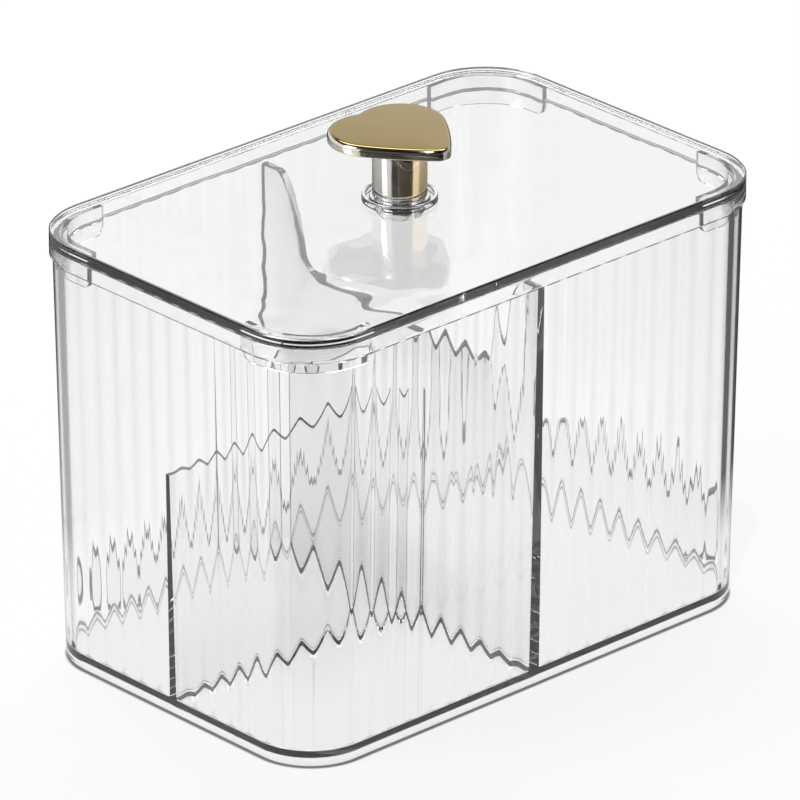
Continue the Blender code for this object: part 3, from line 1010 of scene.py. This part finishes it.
studioLook = {
    "floorLevel": -0.0004,
    "floorSize": 8.0,
    "floorColour": 0.92,
    "seenWhite": 0.82,  # share of plain white over the lit floor
    "throughWhite": 1.0,  # the same, through the plastic
    "skyStops": [(0.0, 1.0), (0.44, 1.0), (0.60, 0.16), (0.75, 0.06)],  # (height, grey), up to the ceiling
    "darkSide": 11,  # degrees to the right of the photo's view; black cloth there shows only in reflections
    "darkSpread": (0.70, 0.75),
    "darkSky": 0.12,
    "nearBox": 0.92,  # what mirrored rays see of the floor right by the box
    "cardsFrom": 0.03,  # distance from the box where the cards begin
    "cardsFade": 0.04,
    "guidedAfter": 3,  # mirrorings, past which light has run inside the plastic and is mostly lost
    "guidedLevel": 0.12,
    # painted contact shadow along the foot
    "contactShadowLevel": 0.12,
    "contactShadowWidth": 0.0004,
    "rimShadeShift": (0.035, 0.028),  # from the rim's outline to its shadow on the floor
    "rimShadeWidth": 0.0014,
    "rimShadeLevel": 0.18,
    "boxShadeLevel": 0.88,
    "shadeSoft": 0.0008,
    # What mirrored rays see low down, by degrees to the right of the photo's view: black cloths, white cards
    "cardStops": [
        (-180, 0.02), (-145, 0.04), (-125, 0.45), (-84, 0.60), (-76, 1.0), (-38, 1.0), (-33, 0.02),
        (54, 0.02), (58, 1.0), (84, 1.0), (92, 0.22), (130, 0.10), (180, 0.03),
    ],
}


def mirrorings(tree):
    # How often a ray was mirrored on its way
    return Wire(tree, addNode(tree, "ShaderNodeLightPath").outputs["Glossy Depth"])


def mirroredRay(tree):
    return mirrorings(tree).math("MINIMUM", 1)


def guidedShare(tree):
    # What is left of light that ran inside the plastic as in a light guide
    return 1 - held(mirrorings(tree) - studioLook["guidedAfter"]) * (1 - studioLook["guidedLevel"])


def outlineGap(x, y, halfX, halfY, radius):
    # Distance from a point on the floor to a rounded outline, negative inside it
    alongX = x.math("ABSOLUTE") - (halfX - radius)
    alongY = y.math("ABSOLUTE") - (halfY - radius)
    outX, outY = alongX.math("MAXIMUM", 0), alongY.math("MAXIMUM", 0)
    inside = alongX.math("MAXIMUM", alongY).math("MINIMUM", 0)
    return (outX * outX + outY * outY) ** 0.5 + inside - radius


def shadeLine(gap, width):
    return held((width + studioLook["shadeSoft"] - gap.math("ABSOLUTE")) / studioLook["shadeSoft"])


def shadeOnFloor(x, y, through):
    # Painted shade on the floor: the foot's contact shadow, and the box's shade and the rim's shadow seen
    # through clear walls
    s, outline = studioLook, outlineSizes
    inset = outerInset(0) + tubSizes["footRound"] / 2
    halfX, halfY, radius = outline["length"] / 2, outline["depth"] / 2, outline["cornerRadius"]
    foot = outlineGap(x, y, halfX - inset, halfY - inset, radius - inset)
    shiftX, shiftY = s["rimShadeShift"]
    rim = outlineGap(x - shiftX, y - shiftY, halfX, halfY, radius)
    inShade = held(0.5 - rim / s["shadeSoft"]).math("MAXIMUM", held(0.5 - foot / s["shadeSoft"]))
    rimLine = shadeLine(rim, s["rimShadeWidth"]) * held(foot / s["shadeSoft"])
    rimShade = 1 - inShade * (1 - s["boxShadeLevel"]) - rimLine * (1 - s["rimShadeLevel"])
    footShade = 1 - shadeLine(foot, s["contactShadowWidth"]) * (1 - s["contactShadowLevel"])
    return footShade * (1 - (1 - rimShade) * through)


def cardsOnFloor(tree, x, y):
    s, outline = studioLook, outlineSizes
    a = math.radians(cameraSizes["azimuth"])
    side = x * math.cos(a) + y * math.sin(a)
    front = x * math.sin(a) - y * math.cos(a)
    turn = side.math("ARCTAN2", front) / math.tau + 0.5
    stops = [(angle / 360 + 0.5, grey) for angle, grey in s["cardStops"]]
    cards = addNode(tree, "ShaderNodeValToRGB", {"stops": stops}, {0: turn})
    gap = outlineGap(x, y, outline["length"] / 2, outline["depth"] / 2, outline["cornerRadius"])
    away = held((gap - s["cardsFrom"]) / s["cardsFade"])
    return s["nearBox"] + (Wire(tree, cards.outputs[0]) - s["nearBox"]) * away


def makeFloor():
    s = studioLook
    bm = bmesh.new()
    bmesh.ops.create_grid(bm, x_segments=8, y_segments=8, size=s["floorSize"] / 2)
    bmesh.ops.translate(bm, verts=bm.verts, vec=(0, 0, s["floorLevel"]))
    floor = objectFromBmesh(bm, "floor", recalculate=False)
    material, tree = newMaterial("pale floor")
    ray = addNode(tree, "ShaderNodeLightPath")
    through = Wire(tree, ray.outputs["Is Transmission Ray"])
    seen = Wire(tree, ray.outputs["Is Camera Ray"]).math("MAXIMUM", Wire(tree, ray.outputs["Is Glossy Ray"]))
    whiteShare = (seen * s["seenWhite"]).math("MAXIMUM", through * s["throughWhite"])
    spot = addNode(tree, "ShaderNodeTexCoord").outputs["Object"]
    place = addNode(tree, "ShaderNodeSeparateXYZ", None, {0: spot})
    x, y = Wire(tree, place.outputs["X"]), Wire(tree, place.outputs["Y"])
    lit = addNode(tree, "ShaderNodeBsdfDiffuse", None, {"Color": (s["floorColour"],) * 3 + (1,)})
    # the plain white carries the painted shadows
    white = addNode(tree, "ShaderNodeEmission", None, {"Color": shadeOnFloor(x, y, through)})
    mixed = addNode(
        tree, "ShaderNodeMixShader", None,
        {0: whiteShare, 1: lit.outputs[0], 2: white.outputs[0]},
    )
    card = cardsOnFloor(tree, x, y) * guidedShare(tree)
    mirrored = addNode(tree, "ShaderNodeEmission", None, {"Color": card})
    final = addNode(
        tree, "ShaderNodeMixShader", None,
        {0: mirroredRay(tree), 1: mixed.outputs[0], 2: mirrored.outputs[0]},
    )
    addNode(tree, "ShaderNodeOutputMaterial", None, {"Surface": final.outputs[0]})
    floor.data.materials.append(material)
    return floor


def makeWorld():
    s = studioLook
    world = bpy.data.worlds.new("studio")
    bpy.context.scene.world = world
    world.use_nodes = True
    tree = world.node_tree
    tree.nodes.clear()
    direction = addNode(tree, "ShaderNodeTexCoord").outputs["Generated"]
    way = addNode(tree, "ShaderNodeSeparateXYZ", None, {0: direction})
    shade = addNode(tree, "ShaderNodeValToRGB", {"stops": s["skyStops"]}, {0: way.outputs["Z"]})
    x, y = Wire(tree, way.outputs["X"]), Wire(tree, way.outputs["Y"])
    a = math.radians(cameraSizes["azimuth"] + s["darkSide"])
    low, high = s["darkSpread"]
    facing = (x * math.sin(a) - y * math.cos(a)) / (x * x + y * y) ** 0.5
    dark = held((facing - low) / (high - low)) * mirroredRay(tree)
    camera = addNode(tree, "ShaderNodeLightPath").outputs["Is Camera Ray"]
    sky = Wire(tree, shade.outputs[0]) * (1 - dark * (1 - s["darkSky"])) * guidedShare(tree)
    around = addNode(tree, "ShaderNodeBackground", None, {"Color": sky})
    seen = addNode(tree, "ShaderNodeBackground", None, {"Color": (1, 1, 1, 1), "Strength": 1.0})
    mixed = addNode(tree, "ShaderNodeMixShader", None, {0: camera, 1: around.outputs[0], 2: seen.outputs[0]})
    addNode(tree, "ShaderNodeOutputWorld", None, {"Surface": mixed.outputs[0]})


lampSizes = {
    "backSoftbox": {"azimuth": 137, "elevation": 58, "distance": 1.4, "size": (1.2, 0.5), "power": 10},
    "leftSoftbox": {"azimuth": -110, "elevation": 35, "distance": 1.3, "size": (0.5, 0.9), "power": 5},
    # A small hard lamp that draws the box's shadow on the floor behind it
    "keyLamp": {"azimuth": -51.3, "elevation": 69.7, "spread": 0.35, "power": 0.8},
}
lampTarget = (0, 0, 0.08)


def aimed(name, data, sizes, target):
    # An object that looks at a target from an azimuth, an elevation and a distance
    a, e = math.radians(sizes["azimuth"]), math.radians(sizes["elevation"])
    back = Vector((math.sin(a) * math.cos(e), -math.cos(a) * math.cos(e), math.sin(e)))
    obj = bpy.data.objects.new(name, data)
    obj.location = Vector(target) + back * sizes.get("distance", 0)
    obj.rotation_mode = "QUATERNION"
    obj.rotation_quaternion = (-back).to_track_quat("-Z", "Y")
    bpy.context.scene.collection.objects.link(obj)
    return obj


def makeLamp(name):
    s = lampSizes[name]
    soft = "size" in s
    data = bpy.data.lights.new(name, "AREA" if soft else "SUN")
    data.energy = s["power"]
    if soft:
        data.shape = "RECTANGLE"
        data.size, data.size_y = s["size"]
    else:
        data.angle = math.radians(s["spread"])
    lamp = aimed(name, data, s, lampTarget)
    lamp.visible_camera = not soft


def makeCamera():
    s = cameraSizes
    data = bpy.data.cameras.new("photoCamera")
    data.sensor_width = s["sensor"]
    data.lens = s["lens"]
    data.clip_start, data.clip_end = s["clip"]
    bpy.context.scene.camera = aimed("photoCamera", data, s, s["target"])


lightBounces = {
    "max_bounces": 24,
    "transmission_bounces": 24,
    "glossy_bounces": 12,
    "transparent_max_bounces": 12,
}

makeFloor()
makeWorld()
for name in lampSizes:
    makeLamp(name)
makeCamera()
scene = bpy.context.scene
scene.view_settings.view_transform = "Standard"
for kind, count in lightBounces.items():
    setattr(scene.cycles, kind, count)
print("studio and camera set")
